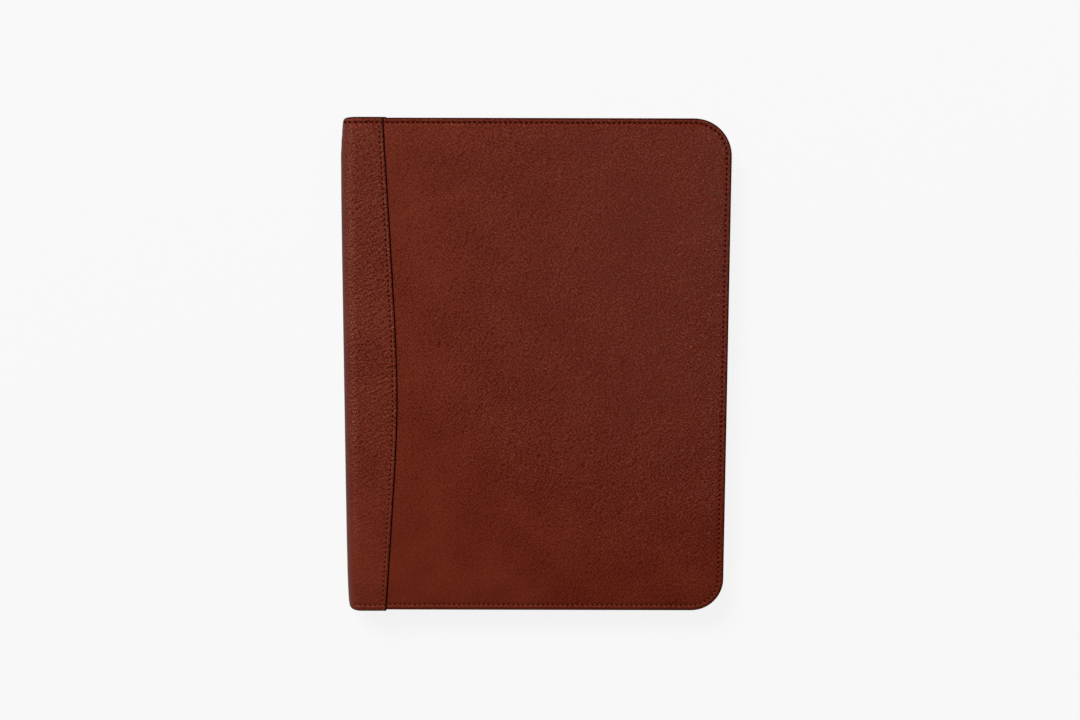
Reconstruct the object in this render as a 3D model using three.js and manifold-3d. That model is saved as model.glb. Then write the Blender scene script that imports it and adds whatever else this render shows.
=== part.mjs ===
// Zip-around leather file folio, closed and lying on its back cover.
// Millimetres. X runs from the spine to the fore edge, Y along the spine, Z up from the table.
// The origin is below the folio's middle, where the back cover rests.

import * as THREE from 'three';
import { mergeVertices } from 'three/addons/utils/BufferGeometryUtils.js';
import Module from 'manifold-3d';

// Driving sizes of the folio
const WIDTH = 260;
const HEIGHT = 336;
const THICKNESS = 25;
const HEAD_CORNER = 25.2;
const TAIL_CORNER = 23;

// Covers: board with leather turned over it
const COVER_WALL = 2.8;
const EDGE_ROUND = 0.9;
const CROWN = 1.2;
const CROWN_RUN = 22;
const BACK_LIFT = 1;

// Spine wrap: bends round the spine and laps onto both covers
const WRAP_WALL = 1.3;
const WRAP_OVERHANG = 0.5;
const SPINE_DEPTH = 11;
const SPINE_PINCH = 2.4;
const LAP_MIDDLE = 37.2;
const LAP_HEAD = 29.7;
const LAP_TAIL = 27.8;
const LAP_BEND = 40;
const LAP_APEX = 14;

// How the pieces are set against each other
const PIECE_GAP = 0.3;
const COVER_SETBACK = 2;
const LAP_RAMP = 16;

// Zip: tapes, closed chain and slider
const TAPE_WALL = 1;
const TAPE_BEND = 1.6;
const TAPE_LAP = 7;
const ZIP_SETBACK = 5;
const CHAIN_INSET = 5.2;
const CHAIN_DEPTH = 2.4;
const CHAIN_HEIGHT = 6.2;
const CHAIN_CORD_DEPTH = 1.6;
const CHAIN_TOOTH_HEIGHT = 3.8;
const STOP_SETBACK = 4;
const SLIDER_LENGTH = 11;
const SLIDER_HEIGHT = 9.4;
const SLIDER_NOSE = 6;
const SLIDER_PLATE = 1.2;
const SLIDER_SETBACK = 14;
const POST_LENGTH = 3;
const POST_HEIGHT = 2.6;
const BAIL_LENGTH = 7.5;
const BAIL_HEIGHT = 2.2;
const BAIL_WIRE = 1;
const BAIL_WIDTH = 2.6;
const PULL_LENGTH = 30;
const PULL_WIDTH = 7;
const PULL_WALL = 1.2;
const PULL_HOLE = 3.4;

// Steps that the curves are cut into
const CORNER_STEPS = 9;
const SIDE_STEPS = 4;
const SPINE_STEPS = 14;
const ROUND_STEPS = 12;

// Heights that several pieces share
const SPINE_X = -WIDTH / 2;
const LAP_RISE = WRAP_WALL + PIECE_GAP;
const MARGIN_TOP = THICKNESS - LAP_RISE - CROWN;
const MARGIN_UNDER = MARGIN_TOP - COVER_WALL;
const BACK_MARGIN_OVER = BACK_LIFT + COVER_WALL;
const ZIP_MID = (MARGIN_UNDER + BACK_MARGIN_OVER) / 2;

// Lengthwise places that several pieces share
const COVER_START = SPINE_X + SPINE_DEPTH + COVER_SETBACK;
const ZIP_START = COVER_START + ZIP_SETBACK;
const RAMP_START = SPINE_X + LAP_MIDDLE + PIECE_GAP;
const RAMP_END = RAMP_START + LAP_RAMP;
const SLIDER_X = ZIP_START + SLIDER_SETBACK;

// Round of a cover's edge, as shares of EDGE_ROUND
const EDGE_ROWS = [
  { inset: 0, drop: 1 },
  { inset: 0.3, drop: 0.3 },
  { inset: 1, drop: 0 },
];

// Rings of the padded crown, as shares of CROWN_RUN
const CROWN_RINGS = [0.22, 0.45, 0.7, 1];

// Pinch of the spine towards its head and tail: place as a share of the half length,
// head and tail as shares of SPINE_PINCH
const SPINE_ROWS = [
  { along: 0, head: 0, tail: 0 },
  { along: 0.12, head: 0, tail: 0 },
  { along: 0.26, head: 0, tail: 0 },
  { along: 0.45, head: 0, tail: 0 },
  { along: 0.66, head: 0.02, tail: 0.02 },
  { along: 0.84, head: 0.12, tail: 0.1 },
  { along: 0.9, head: 0.34, tail: 0.18 },
  { along: 0.94, head: 0.58, tail: 0.26 },
  { along: 0.97, head: 0.74, tail: 0.36 },
  { along: 0.985, head: 0.84, tail: 0.48 },
  { along: 1, head: 1, tail: 0.66 },
];

const wasm = await Module();
wasm.setup();

// Places between two values by a share
const between = (from, to, share) => from + (to - from) * share;

// Rise of a padded cover at a distance from its free edge, as a share of its crown
function crownShare(inset) {
  const left = 1 - Math.min(Math.max(inset / CROWN_RUN, 0), 1);
  return 1 - left * left;
}

// Smooth step from 1 before a ramp to 0 after it
function rampShare(x) {
  const share = Math.min(Math.max((x - RAMP_START) / LAP_RAMP, 0), 1);
  return 1 - share * share * (3 - 2 * share);
}

// Outer and inner faces of the two covers
const frontTop = (inset) => MARGIN_TOP + CROWN * crownShare(inset);
const frontUnder = (inset) => frontTop(inset) - COVER_WALL;
const backBottom = (x, inset) => BACK_LIFT * (1 - crownShare(inset)) + LAP_RISE * rampShare(x);
const backOver = (x, inset) => backBottom(x, inset) + COVER_WALL;

// Builds a closed geometry from corners and triangles: merges corners, drops slivers, faces out
function closedGeometry(corners, triangles) {
  const loose = new THREE.BufferGeometry();
  loose.setAttribute('position', new THREE.Float32BufferAttribute(corners.flat(), 3));
  loose.setIndex(triangles.flat());
  const merged = mergeVertices(loose, 1e-4);
  const place = merged.getAttribute('position');
  const index = merged.getIndex().array;
  const kept = [];
  let volume = 0;
  for (let i = 0; i < index.length; i += 3) {
    const [a, b, c] = [index[i], index[i + 1], index[i + 2]];
    if (a === b || b === c || c === a) continue;
    const [p, q, r] = [a, b, c].map((k) => new THREE.Vector3().fromBufferAttribute(place, k));
    volume += p.dot(q.cross(r));
    kept.push([a, b, c]);
  }
  merged.setIndex(kept.map((t) => (volume < 0 ? [t[0], t[2], t[1]] : t)).flat());
  return merged.toNonIndexed();
}

// One named mesh with its own copy of a look
function piece(name, geometry, look) {
  const material = new THREE.MeshStandardMaterial(look);
  geometry.deleteAttribute('normal');
  geometry.computeVertexNormals();
  const mesh = new THREE.Mesh(geometry, material);
  mesh.name = name;
  return mesh;
}

// Places along one leg, from the spine to the start of a corner
function legStations(start, end) {
  const ramp = [0, 0.25, 0.5, 0.75, 1].map((share) => between(RAMP_START, RAMP_END, share));
  return [start, ...ramp.filter((x) => x > start && x < end), end];
}

// Line at one inset round the three free sides, from the tail leg to the head leg.
// Each leg begins at its own place along X.
function freeEdge(inset, tailStart, headStart) {
  const side = WIDTH / 2 - inset;
  const end = HEIGHT / 2 - inset;
  const low = Math.max(TAIL_CORNER - inset, 0);
  const high = Math.max(HEAD_CORNER - inset, 0);
  const line = legStations(tailStart, side - low).map((x) => [x, -end]);
  for (let i = 1; i <= CORNER_STEPS; i += 1) {
    const angle = (i / CORNER_STEPS) * (Math.PI / 2);
    line.push([side - low * (1 - Math.sin(angle)), low * (1 - Math.cos(angle)) - end]);
  }
  for (let i = 1; i <= SIDE_STEPS; i += 1) {
    line.push([side, between(low - end, end - high, i / SIDE_STEPS)]);
  }
  for (let i = 1; i <= CORNER_STEPS; i += 1) {
    const angle = (i / CORNER_STEPS) * (Math.PI / 2);
    line.push([side - high * (1 - Math.cos(angle)), end - high * (1 - Math.sin(angle))]);
  }
  const head = legStations(headStart, side - high).map((x) => [x, end]);
  return line.concat(head.reverse().slice(1));
}

// Closed solid between two faces that are given as heights over the cover's outline
function coverGeometry(topHeight, underHeight) {
  const rows = EDGE_ROWS.map((row) => ({ inset: row.inset * EDGE_ROUND, drop: row.drop * EDGE_ROUND }));
  rows.push(...CROWN_RINGS.map((share) => ({ inset: share * CROWN_RUN, drop: 0 })));
  const corners = [];
  for (const [height, sign] of [[topHeight, -1], [underHeight, 1]]) {
    for (const row of rows) {
      for (const [x, y] of freeEdge(row.inset, COVER_START, COVER_START)) {
        corners.push([x, y, height(x, row.inset) + sign * row.drop]);
      }
    }
  }
  const count = corners.length / (2 * rows.length);
  const legSteps = legStations(COVER_START, WIDTH / 2 - HEAD_CORNER).length - 1;
  const faceSize = count * rows.length;
  const triangles = [];
  const addFace = (face) => {
    const at = (ring, i) => face * faceSize + ring * count + i;
    const add = (a, b, c) => triangles.push(face === 0 ? [a, b, c] : [a, c, b]);
    for (let ring = 0; ring + 1 < rows.length; ring += 1) {
      for (let i = 0; i + 1 < count; i += 1) {
        add(at(ring, i), at(ring, i + 1), at(ring + 1, i + 1));
        add(at(ring, i), at(ring + 1, i + 1), at(ring + 1, i));
      }
    }
    const last = rows.length - 1;
    for (let i = 0; i < legSteps; i += 1) {
      add(at(last, i), at(last, i + 1), at(last, count - 2 - i));
      add(at(last, i), at(last, count - 2 - i), at(last, count - 1 - i));
    }
    for (let i = legSteps + 1; i + 1 < count - legSteps; i += 1) {
      add(at(last, legSteps), at(last, i), at(last, i + 1));
    }
  };
  addFace(0);
  addFace(1);
  const rim = [];
  for (let i = 0; i < count; i += 1) rim.push(i);
  for (let ring = 1; ring < rows.length; ring += 1) rim.push(ring * count + count - 1);
  for (let ring = rows.length - 1; ring > 0; ring -= 1) rim.push(ring * count);
  rim.forEach((a, k) => {
    const b = rim[(k + 1) % rim.length];
    triangles.push([a, a + faceSize, b + faceSize], [a, b + faceSize, b]);
  });
  return closedGeometry(corners, triangles);
}

// Width of the spine wrap's lap at a place along the spine. It is widest a little below
// the middle, at LAP_APEX towards the tail.
function lapWidth(y) {
  const along = y + LAP_APEX;
  const length = HEIGHT / 2 + (along > 0 ? LAP_APEX : -LAP_APEX);
  const run = Math.hypot(along, LAP_BEND) - LAP_BEND;
  const whole = Math.hypot(length, LAP_BEND) - LAP_BEND;
  return between(LAP_MIDDLE, along > 0 ? LAP_HEAD : LAP_TAIL, Math.min(run / whole, 1));
}

// C-shaped section of the spine wrap at one place along the spine, outer or inner line
function wrapSection(y, pinch, wall) {
  const inset = HEIGHT / 2 - Math.abs(y);
  const top = frontTop(inset) + LAP_RISE - wall;
  const bottom = BACK_LIFT * (1 - crownShare(inset)) + wall;
  const bendX = SPINE_X + SPINE_DEPTH;
  const depth = SPINE_DEPTH - pinch - wall;
  const lapX = SPINE_X + lapWidth(y);
  const mid = (top + bottom) / 2;
  const half = (top - bottom) / 2;
  const section = [[lapX, y, top], [between(lapX, bendX, 0.5), y, top]];
  for (let i = 0; i <= SPINE_STEPS; i += 1) {
    const angle = (i / SPINE_STEPS) * Math.PI;
    section.push([bendX - depth * Math.sin(angle), y, mid + half * Math.cos(angle)]);
  }
  section.push([between(lapX, bendX, 0.5), y, bottom], [lapX, y, bottom]);
  return section;
}

// Closed solid between two grids of corners with the same rows and columns
function shellGeometry(outer, inner) {
  const rows = outer.length;
  const columns = outer[0].length;
  const corners = [...outer.flat(), ...inner.flat()];
  const shift = rows * columns;
  const triangles = [];
  for (let r = 0; r + 1 < rows; r += 1) {
    for (let c = 0; c + 1 < columns; c += 1) {
      const [a, b] = [r * columns + c, r * columns + c + 1];
      const [d, e] = [a + columns, b + columns];
      triangles.push([a, b, e], [a, e, d]);
      triangles.push([a + shift, e + shift, b + shift], [a + shift, d + shift, e + shift]);
    }
  }
  const rim = [];
  for (let c = 0; c + 1 < columns; c += 1) rim.push(c);
  for (let r = 0; r + 1 < rows; r += 1) rim.push(r * columns + columns - 1);
  for (let c = columns - 1; c > 0; c -= 1) rim.push((rows - 1) * columns + c);
  for (let r = rows - 1; r > 0; r -= 1) rim.push(r * columns);
  rim.forEach((a, k) => {
    const b = rim[(k + 1) % rim.length];
    triangles.push([a, a + shift, b + shift], [a, b + shift, b]);
  });
  return closedGeometry(corners, triangles);
}

// The spine wrap, from its tail to its head
function wrapGeometry() {
  const half = HEIGHT / 2 + WRAP_OVERHANG;
  const tail = SPINE_ROWS.slice(1).reverse().map((row) => [-row.along * half, row.tail * SPINE_PINCH]);
  const head = SPINE_ROWS.map((row) => [row.along * half, row.head * SPINE_PINCH]);
  const places = [...tail, ...head];
  const outer = places.map(([y, pinch]) => wrapSection(y, pinch, 0));
  const inner = places.map(([y, pinch]) => wrapSection(y, pinch, WRAP_WALL));
  return shellGeometry(outer, inner);
}

// Closed solid of a section carried round the three free sides.
// Each corner of the section has an inset and a height that may change along X.
function bandGeometry(section, tailStart, headStart) {
  const lines = section.map((corner) => freeEdge(corner.inset, tailStart, headStart));
  const count = lines[0].length;
  const size = section.length;
  const corners = [];
  for (let i = 0; i < count; i += 1) {
    section.forEach((corner, k) => {
      const [x, y] = lines[k][i];
      corners.push([x, y, corner.height(x)]);
    });
  }
  const triangles = [];
  for (let i = 0; i + 1 < count; i += 1) {
    for (let k = 0; k < size; k += 1) {
      const [a, b] = [i * size + k, i * size + ((k + 1) % size)];
      triangles.push([a, b, b + size], [a, b + size, a + size]);
    }
  }
  const outline = section.map((corner) => new THREE.Vector2(corner.inset, corner.height(tailStart)));
  const clockwise = THREE.ShapeUtils.isClockWise(outline);
  for (const [a, b, c] of THREE.ShapeUtils.triangulateShape(outline, [])) {
    const end = (count - 1) * size;
    triangles.push(clockwise ? [a, b, c] : [a, c, b]);
    triangles.push(clockwise ? [a + end, c + end, b + end] : [a + end, b + end, c + end]);
  }
  return closedGeometry(corners, triangles);
}

// Section of one tape: a lap along its cover's inner face, a bend, and a wall down to the chain.
// face gives the cover's inner face, and inward points from there towards the chain.
function tapeSection(face, inward) {
  const outside = CHAIN_INSET - TAPE_WALL / 2;
  const inside = CHAIN_INSET + TAPE_WALL / 2;
  const chainEdge = () => ZIP_MID - inward * (CHAIN_HEIGHT / 2 + PIECE_GAP);
  const lapPlaces = [1, 0.5, 0].map((share) => outside + TAPE_BEND + share * TAPE_LAP);
  const bend = (radius) => [0.25, 0.5, 0.75, 1].map((share) => {
    const angle = share * (Math.PI / 2);
    return {
      inset: outside + TAPE_BEND - radius * Math.sin(angle),
      height: (x) => face(x, outside + TAPE_BEND) + inward * (PIECE_GAP + TAPE_BEND - radius * Math.cos(angle)),
    };
  });
  const lap = (depth) => lapPlaces.map((inset) => ({
    inset,
    height: (x) => face(x, inset) + inward * (PIECE_GAP + depth),
  }));
  return [
    ...lap(0),
    ...bend(TAPE_BEND),
    { inset: outside, height: chainEdge },
    { inset: inside, height: chainEdge },
    ...bend(TAPE_BEND - TAPE_WALL).reverse(),
    ...lap(TAPE_WALL).reverse(),
  ];
}

// Section of the closed chain: teeth between two thinner corded edges
function chainSection() {
  const rows = [
    [-CHAIN_HEIGHT / 2, CHAIN_CORD_DEPTH / 2],
    [-CHAIN_TOOTH_HEIGHT / 2, CHAIN_CORD_DEPTH / 2],
    [-CHAIN_TOOTH_HEIGHT / 2, CHAIN_DEPTH / 2],
    [CHAIN_TOOTH_HEIGHT / 2, CHAIN_DEPTH / 2],
    [CHAIN_TOOTH_HEIGHT / 2, CHAIN_CORD_DEPTH / 2],
    [CHAIN_HEIGHT / 2, CHAIN_CORD_DEPTH / 2],
  ];
  const side = (sign) => rows.map(([rise, depth]) => ({
    inset: CHAIN_INSET + sign * depth,
    height: () => ZIP_MID + rise,
  }));
  return [...side(-1), ...side(1).reverse()];
}

// Turns a three.js geometry into a manifold solid
function toManifold(geometry) {
  const bare = geometry.clone();
  bare.deleteAttribute('normal');
  bare.deleteAttribute('uv');
  const merged = mergeVertices(bare, 1e-4);
  const vertProperties = Float32Array.from(merged.getAttribute('position').array);
  const triVerts = Uint32Array.from(merged.getIndex().array);
  return new wasm.Manifold(new wasm.Mesh({ numProp: 3, vertProperties, triVerts }));
}

// Turns a manifold solid back into a three.js geometry
function fromManifold(manifold) {
  const mesh = manifold.getMesh();
  const geometry = new THREE.BufferGeometry();
  geometry.setAttribute('position', new THREE.BufferAttribute(mesh.vertProperties, 3));
  geometry.setIndex(new THREE.BufferAttribute(mesh.triVerts, 1));
  return geometry.toNonIndexed();
}

// Extrudes an outline in the X-Z plane along Y, from one inset to a deeper one at the tail side
function tailPlate(shape, insetFrom, insetTo) {
  const geometry = new THREE.ExtrudeGeometry(shape, {
    depth: insetTo - insetFrom,
    bevelEnabled: false,
    curveSegments: ROUND_STEPS,
  });
  geometry.rotateX(Math.PI / 2);
  geometry.translate(0, -HEIGHT / 2 + insetTo, 0);
  return geometry;
}

// Outline of a slider plate: wide at the shoulders, narrower at the closed end
function plateShape() {
  const [half, nose, tail] = [SLIDER_HEIGHT / 2, SLIDER_NOSE / 2, SLIDER_LENGTH / 2];
  const shoulder = SLIDER_X - tail / 3;
  const bulge = SLIDER_X - tail - nose / 3;
  const shape = new THREE.Shape();
  shape.moveTo(SLIDER_X + tail, ZIP_MID - nose);
  shape.lineTo(SLIDER_X + tail, ZIP_MID + nose);
  shape.quadraticCurveTo(SLIDER_X, ZIP_MID + nose, shoulder, ZIP_MID + half);
  shape.lineTo(SLIDER_X - tail, ZIP_MID + half);
  shape.quadraticCurveTo(bulge, ZIP_MID, SLIDER_X - tail, ZIP_MID - half);
  shape.lineTo(shoulder, ZIP_MID - half);
  shape.quadraticCurveTo(SLIDER_X, ZIP_MID - nose, SLIDER_X + tail, ZIP_MID - nose);
  return shape;
}

// Outline of the post that joins the two plates ahead of the chain's end
function postShape() {
  const start = SLIDER_X - SLIDER_LENGTH / 2;
  const shape = new THREE.Shape();
  shape.moveTo(start, ZIP_MID - POST_HEIGHT / 2);
  shape.lineTo(start + POST_LENGTH, ZIP_MID);
  shape.lineTo(start, ZIP_MID + POST_HEIGHT / 2);
  return shape;
}

// Outline of the flat pull with its hole, lying along the zip
function pullShape() {
  const start = SLIDER_X - PULL_WIDTH / 2;
  const end = start + PULL_LENGTH;
  const half = PULL_WIDTH / 2;
  const shape = new THREE.Shape();
  shape.absarc(end - half, ZIP_MID, half, -Math.PI / 2, Math.PI / 2, false);
  shape.lineTo(start + half, ZIP_MID + half);
  shape.absarc(start + half, ZIP_MID, half, Math.PI / 2, (3 * Math.PI) / 2, false);
  const hole = new THREE.Path();
  hole.absarc(end - half, ZIP_MID, PULL_HOLE / 2, 0, 2 * Math.PI, true);
  shape.holes.push(hole);
  return shape;
}

// The bail: an arch over the pull, standing on the outer plate
function bailGeometry(plateOut) {
  const half = BAIL_LENGTH / 2;
  const arch = new THREE.Shape();
  arch.moveTo(-half, 0);
  arch.lineTo(-half, BAIL_HEIGHT - BAIL_WIRE);
  arch.lineTo(BAIL_WIRE - half, BAIL_HEIGHT);
  arch.lineTo(half - BAIL_WIRE, BAIL_HEIGHT);
  arch.lineTo(half, BAIL_HEIGHT - BAIL_WIRE);
  arch.lineTo(half, 0);
  const geometry = new THREE.ExtrudeGeometry(arch, { depth: BAIL_WIDTH, bevelEnabled: false });
  geometry.rotateX(Math.PI);
  geometry.translate(SLIDER_X, -HEIGHT / 2 + plateOut, ZIP_MID + BAIL_WIDTH / 2);
  return geometry;
}

// The slider: two plates over the chain, their post, the bail and the pull
function sliderGeometry() {
  const reach = CHAIN_DEPTH / 2 + PIECE_GAP;
  const outerPlate = CHAIN_INSET - reach - SLIDER_PLATE;
  const innerPlate = CHAIN_INSET + reach + SLIDER_PLATE;
  const sink = SLIDER_PLATE / 2;
  const solids = [
    tailPlate(plateShape(), outerPlate, CHAIN_INSET - reach),
    tailPlate(plateShape(), CHAIN_INSET + reach, innerPlate),
    tailPlate(postShape(), outerPlate + sink, innerPlate - sink),
    tailPlate(pullShape(), outerPlate - PULL_WALL, outerPlate),
    bailGeometry(outerPlate),
  ].map(toManifold);
  return fromManifold(solids.reduce((whole, next) => whole.add(next)));
}

// Looks of the pieces
const LEATHER = { color: 0x6b2a1d, roughness: 0.5, metalness: 0 };
const WRAP_LEATHER = { color: 0x71301f, roughness: 0.5, metalness: 0 };
const CLOTH = { color: 0x2c1a15, roughness: 0.9, metalness: 0 };
const BRASS = { color: 0xa5803f, roughness: 0.35, metalness: 0.9 };

// Pieces of the folio
const flatTop = (x, inset) => frontTop(inset);
const flatUnder = (x, inset) => frontUnder(inset);
const chainStart = SLIDER_X - SLIDER_LENGTH / 2 + POST_LENGTH + PIECE_GAP;
const stopStart = ZIP_START + STOP_SETBACK;
const group = new THREE.Group();
group.add(
  piece('front_cover', coverGeometry(flatTop, flatUnder), LEATHER),
  piece('back_cover', coverGeometry(backOver, backBottom), LEATHER),
  piece('spine_wrap', wrapGeometry(), WRAP_LEATHER),
  piece('zip_tape_front', bandGeometry(tapeSection(flatUnder, -1), ZIP_START, ZIP_START), CLOTH),
  piece('zip_tape_back', bandGeometry(tapeSection(backOver, 1), ZIP_START, ZIP_START), CLOTH),
  piece('zip_chain', bandGeometry(chainSection(), chainStart, stopStart), BRASS),
  piece('zip_slider', sliderGeometry(), BRASS),
);

export default group;
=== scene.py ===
import math

import bmesh
import bpy
import numpy as np
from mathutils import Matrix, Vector


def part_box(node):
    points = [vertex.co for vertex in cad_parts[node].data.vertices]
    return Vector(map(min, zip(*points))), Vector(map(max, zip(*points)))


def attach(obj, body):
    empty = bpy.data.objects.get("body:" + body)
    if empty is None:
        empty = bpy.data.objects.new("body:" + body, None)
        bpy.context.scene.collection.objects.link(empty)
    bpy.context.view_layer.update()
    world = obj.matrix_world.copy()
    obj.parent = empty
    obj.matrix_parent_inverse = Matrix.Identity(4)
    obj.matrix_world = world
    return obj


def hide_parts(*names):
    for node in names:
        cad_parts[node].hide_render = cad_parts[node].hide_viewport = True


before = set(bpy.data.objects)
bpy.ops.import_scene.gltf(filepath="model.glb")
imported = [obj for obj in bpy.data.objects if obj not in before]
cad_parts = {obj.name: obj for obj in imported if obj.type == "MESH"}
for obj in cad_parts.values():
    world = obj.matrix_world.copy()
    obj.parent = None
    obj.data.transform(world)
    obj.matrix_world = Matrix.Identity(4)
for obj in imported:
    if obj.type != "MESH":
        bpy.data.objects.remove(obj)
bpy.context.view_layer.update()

# A closed zip-around leather folio that lies on its back cover. Shapes are worked out in
# millimetres in the row frame and go into Blender in metres.
MM = 0.001


def node_box(name):
    """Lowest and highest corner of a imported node, in millimetres."""
    low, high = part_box(name)
    return np.array(low) / MM, np.array(high) / MM


front_low, front_high = node_box("front_cover")
wrap_low, wrap_high = node_box("spine_wrap")
chain_low, chain_high = node_box("zip_chain")
tape_low, _ = node_box("zip_tape_front")
slider_low, slider_high = node_box("zip_slider")

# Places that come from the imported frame
SPINE_X = wrap_low[0]
COVER_START = front_low[0]
FORE_X = front_high[0]
HALF_HEIGHT = front_high[1]
WRAP_HALF = wrap_high[1]
PANEL_TOP = front_high[2]
LAP_RISE = wrap_high[2] - PANEL_TOP
ZIP_START = tape_low[0]
CHAIN_HEIGHT = chain_high[2] - chain_low[2]
ZIP_MID = (chain_low[2] + chain_high[2]) / 2

# Sizes of the covers and the spine wrap
HEAD_CORNER = 25.2
TAIL_CORNER = 22.2
COVER_WALL = 2.8
EDGE_ROUND = 0.9
CROWN = 1.2
CROWN_RUN = 22
BACK_LIFT = 1
SPINE_DEPTH = 11
SPINE_PINCH = 2.4
WRAP_WALL = 1.3
LAP_MIDDLE = 37.2
LAP_HEAD = 29.7
LAP_TAIL = 27.8
LAP_BEND = 40
LAP_APEX = -14
LAP_RAMP = 16
PIECE_GAP = 0.3
PAINT_WIDTH = 1.0
END_PAINT = 0.8
# Gap between a lap and its cover at the lap's free edge, and the run in which it widens
LAP_TUCK = 0.1
LAP_SETTLE = 3

# Sizes of the zip
TAPE_WALL = 1
TAPE_BEND = 1.6
TAPE_LAP = 7
CHAIN_INSET = 5.2
CHAIN_DEPTH = 2.4
TOOTH_PITCH = 1.25
TOOTH_WIDTH = 0.9
TOOTH_REACH = 0.9
STOP_LENGTH = 2.6
STOP_WIDTH = 2.2
TAIL_STOP_WIDTH = 2
CORD_RADIUS = 0.85
CORD_RISE = 2.2
CORD_SPREAD = 0.6

# Sizes of the slider
SLIDER_LENGTH = 11
SLIDER_HEIGHT = 9.4
SLIDER_NOSE = 6
SLIDER_PLATE = 1.2
BAIL_LENGTH = 7.5
BAIL_RISE = 2.1
BAIL_WIDTH = 2.4
BAIL_WALL = 0.8
PULL_LENGTH = 30
PULL_WIDTH = 7
PULL_WALL = 1.2
PULL_HOLE = 3.4
PULL_GAP = 0.05
POST_LENGTH = 3
POST_HEIGHT = 2.6
POST_INSET = 0.3
FLANGE_WALL = 0.9
FLANGE_REACH = 0.85
FLANGE_INSET = 0.3
EYE_LENGTH = 3
EYE_WIDTH = 3.6
# How far the post and the rims reach into the slider's plates
PLATE_BITE = 0.4
# Bevels of the metal parts
PLATE_BEVEL = 0.3
POST_BEVEL = 0.1
FLANGE_BEVEL = 0.15
BAIL_BEVEL = 0.2
PULL_BEVEL = 0.25
STOP_BEVEL = 0.2
SLIDER_X = slider_high[0] + PULL_WIDTH / 2 - PULL_LENGTH

# Sizes of the stitches and their distances from the covers' edge and from the lap's edge
STITCH_PITCH = 3.4
EDGE_STITCH = 3.5
LAP_STITCH = 3.2
THREAD_LENGTH = 1.9
THREAD_WIDTH = 0.95
THREAD_HEIGHT = 0.5
THREAD_SLANT = math.radians(-18)
# The holes are flat dark marks: painted shade where the stitch holes sink into the leather
HOLE_LENGTH = 2.5
HOLE_WIDTH = 1.9
HOLE_HEIGHT = 0.2
HOLE_SLANT = math.radians(-32)
STITCH_LIFT = 0.02
SEAM_START = SPINE_X + 4
SEAM_MARGIN = 1.0
# Painted shade along the seams: place as a share of the half height, and share. The threads
# shrink and the dark hole marks grow with the share, most towards the head, where the groove
# lies in shade, and least towards the tail, where the threads catch the light
EDGE_SHADE_ROWS = ((-1.0, 0.1), (-0.975, 0.15), (-0.93, 0.8), (0.5, 0.9), (0.93, 1.05),
              (0.97, 1.45), (1.0, 1.45))
LAP_SHADE_ROWS = ((-1.0, 0.0), (-0.9, 0.1), (-0.1, 0.3), (0.5, 0.45), (1.0, 0.55))

# Fineness of the meshes
GRID_STEP = 2.2
RIM_INSETS = np.arange(1.2, 5.6, 0.3)
FACE_INSETS = np.linspace(6.5, HEAD_CORNER, 14)
CORNER_STEPS = 22
ROUND_STEPS = 7
BEND_STEPS = 30
WRAP_STEP = 1.8
ZIP_LEG_SHARES = np.linspace(0, 1, 45)
ZIP_SIDE_SHARES = np.linspace(0, 1, 31)
ZIP_CORNER_STEPS = 14
BEAD_RINGS = 6
BEAD_SIDES = 8
# Where the wrap is cut: distances from a lap's free edge and from the wrap's ends
LAP_CUTS = np.array([0, 0.15, 0.35, 0.6, 0.85, 1.1, 1.4, 1.7, 2.0, 2.3, 2.6, 2.9, 3.2, 3.5, 3.9,
                     4.5, 5.3])
END_CUTS = np.array([0, 0.04, 0.15, 0.3, 0.5, 0.7, 0.9, 1.2, 1.6, 2.0, 2.4, 2.8, 3.2, 3.6, 4.0,
                     4.5, 5.2, 6, 7, 8, 9.5])
END_RUN = 11

MARGIN_TOP = PANEL_TOP - CROWN
BEND_X = SPINE_X + SPINE_DEPTH
RAMP_START = SPINE_X + LAP_MIDDLE + PIECE_GAP

# Low relief beside a cover's edge: distance from the edge and rise
RIM_ROWS = ((0.0, 0.0), (0.9, 0.0), (1.4, 0.16), (2.1, 0.24), (2.7, 0.06), (3.15, -0.34),
            (3.8, -0.34), (4.4, -0.08), (5.4, 0.05), (7.0, 0.0))
# The seam and its groove sit a little closer to the head edge than to the tail edge, and the
# seam keeps back from the fore edge
SEAM_SHIFT = 0.35
SEAM_BACK = 0.2

# Relief of a lap beside its free edge: distance from the edge and rise
LAP_ROWS = ((0.0, -1.25), (0.3, -0.8), (0.55, -0.25), (0.8, -0.02), (1.2, 0.15), (1.6, 0.14),
            (2.2, -0.06), (2.7, -0.2), (3.3, -0.2), (3.8, -0.05), (5.0, 0.0))

# Slow unevenness of the leather: wavelength, direction in degrees, phase and share. It fades
# out towards the covers' edges.
DRIFT_WAVES = ((171, 20, 0.3, 1.0), (117, 75, 1.9, 0.8), (83, 130, 4.1, 0.6),
               (59, 50, 2.6, 0.45), (41, 160, 5.2, 0.3), (29, 100, 0.9, 0.2))
DRIFT = 0.1
DRIFT_RUN = 12

# Pinch of the spine towards its ends: place as a share of the half length, head and tail
# as shares of SPINE_PINCH
PINCH_ROWS = ((0.0, 0.0, 0.0), (0.45, 0.0, 0.0), (0.66, 0.02, 0.02), (0.84, 0.12, 0.1),
              (0.9, 0.34, 0.18), (0.94, 0.58, 0.26), (0.97, 0.74, 0.36), (0.985, 0.84, 0.48),
              (1.0, 1.0, 0.66))

# Setback of the spine's two corners from its ends: distance from the spine's back, setback
# at the head and at the tail. It fades out along CORNER_RUN.
CORNER_ROWS = ((0.0, 3.4, 0.9), (1.8, 2.5, 0.7), (2.5, 1.9, 0.5), (3.9, 1.1, 0.2), (5.2, 0.6, 0.1),
               (7.3, 0.25, 0.0), (11.0, 0.0, 0.0))
CORNER_RUN = 9

# Camera, fitted to the folio's outline in the photograph, in millimetres and degrees
CAMERA_PLACE = (4.1, 169.2, 1090.2)
CAMERA_TURN = (-8.65, 0.06, 0.14)
CAMERA_LENS = 53.43
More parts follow.
